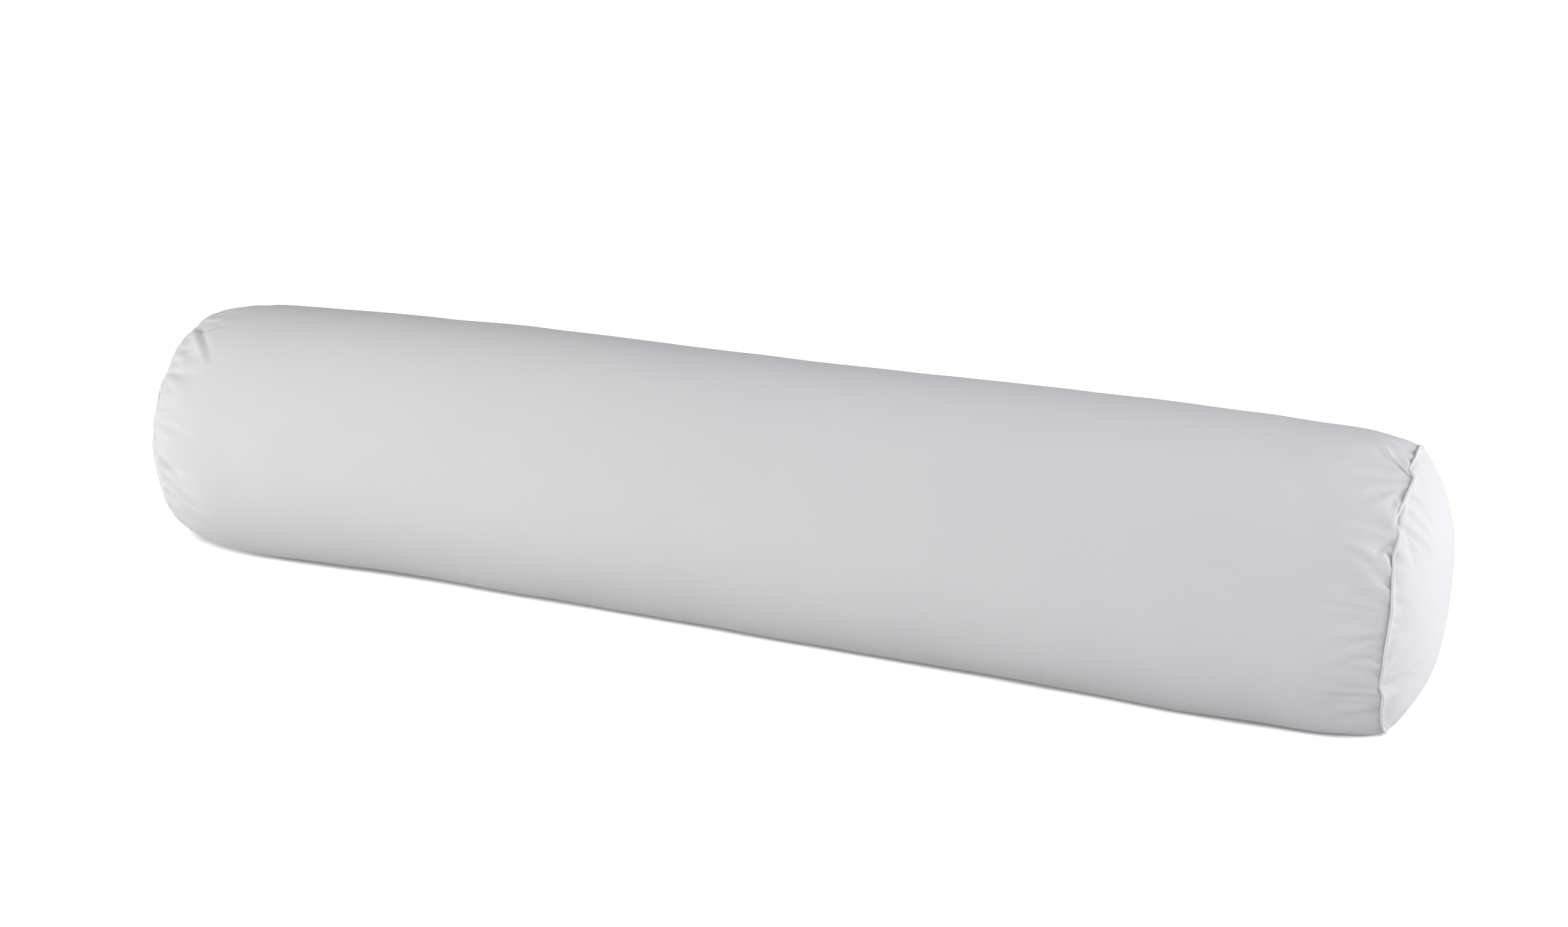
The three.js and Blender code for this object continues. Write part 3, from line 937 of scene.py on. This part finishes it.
def ground(name, height):
    """A large flat square."""
    corners = [(-9, -9, height), (9, -9, height), (9, 9, height), (-9, 9, height)]
    return new_object(name, corners, [(0, 1, 2, 3)], smooth=False)


def white_floor():
    """A white floor that glows more further away, like a studio sweep. It sends no light to the pillow."""
    mat, tree, shader = material("studio_floor", (0.9, 0.9, 0.9), 0.9)
    place = node(tree, "ShaderNodeTexCoord").outputs["Object"]
    distance = node(tree, "ShaderNodeVectorMath", {0: place}, operation="LENGTH").outputs["Value"]
    glow = node(tree, "ShaderNodeMapRange", {
        "Value": distance, "From Min": 0.9, "From Max": 2.4, "To Min": FLOOR_GLOW[0], "To Max": FLOOR_GLOW[1],
    }, interpolation_type="SMOOTHSTEP")
    tree.links.new(glow.outputs[0], shader.inputs["Emission Strength"])
    shader.inputs["Emission Color"].default_value = (1, 1, 1, 1)
    floor = ground("floor", 0.0)
    floor.data.materials.append(mat)
    floor.visible_diffuse = False
    floor.visible_shadow = False
    return floor


def bounce_card():
    """A grey card just under the floor, which alone sends light back up, so the underside stays dim."""
    card = ground("bounce_card", -0.001)
    card.data.materials.append(material("grey_card", (BOUNCE, BOUNCE, BOUNCE), 0.9)[0])
    card.visible_camera = False


floor = white_floor()
bounce_card()

AZIMUTH, ELEVATION = math.radians(21.48), math.radians(19.03)
DISTANCE = 1.965
AIM = Vector((0.0220, 0.0121, 0.1495))
back = Vector((
    math.sin(AZIMUTH) * math.cos(ELEVATION), -math.cos(AZIMUTH) * math.cos(ELEVATION), math.sin(ELEVATION),
))
camera = bpy.data.objects.new("camera", bpy.data.cameras.new("camera"))
camera.data.lens = 50
camera.data.sensor_width = 36
camera.location = AIM + back * DISTANCE
camera.rotation_euler = back.to_track_quat("Z", "Y").to_euler()
bpy.context.collection.objects.link(camera)
bpy.context.scene.camera = camera


def softbox(name, azimuth, elevation, distance, size, power, color=(1, 1, 1), only=None):
    """A softbox aimed at the pillow, its azimuth counted like the camera's. It may light only one thing."""
    az, el = math.radians(azimuth), math.radians(elevation)
    direction = Vector((math.sin(az) * math.cos(el), -math.cos(az) * math.cos(el), math.sin(el)))
    lamp = bpy.data.objects.new(name, bpy.data.lights.new(name, "AREA"))
    lamp.data.shape = "SQUARE"
    lamp.data.size = size
    lamp.data.energy = power
    lamp.data.color = color
    lamp.location = direction * distance
    lamp.rotation_euler = direction.to_track_quat("Z", "Y").to_euler()
    bpy.context.collection.objects.link(lamp)
    if only:
        lit = bpy.data.collections.new(f"{name}_lights_only")
        lit.objects.link(only)
        lamp.light_linking.receiver_collection = lit


for name, azimuth, elevation, power, color in (
    ("left_front_softbox", -30, 12, 57, (1.0, 0.94, 0.99)),
    ("left_softbox", -60, 12, 104, (0.95, 1.0, 0.94)),
    ("right_front_softbox", 60, 12, 23, (0.9, 0.9, 1.0)),
    ("right_high_softbox", 90, 35, 61, (0.95, 0.95, 1.0)),
    ("right_softbox", 90, 12, 56, (1.0, 0.98, 0.95)),
    ("back_high_softbox", 150, 60, 39, (1.0, 0.97, 0.98)),
):
    softbox(name, azimuth, elevation, SOFTBOX_DISTANCE, SOFTBOX_SIZE, power, color)
softbox("floor_light", 21.5, 33, 7.0, 1.2, 900, only=floor)  # gives the thin dark line along the floor

world = bpy.data.worlds.new("white_backdrop")
bpy.context.scene.world = world
world.use_nodes = True
world.node_tree.nodes["Background"].inputs["Color"].default_value = (1, 1, 1, 1)
world.node_tree.nodes["Background"].inputs["Strength"].default_value = 1.0
for rays in ("diffuse", "glossy", "transmission", "scatter"):  # it is seen, and lights nothing
    setattr(world.cycles_visibility, rays, False)
bpy.context.scene.view_settings.view_transform = "Standard"
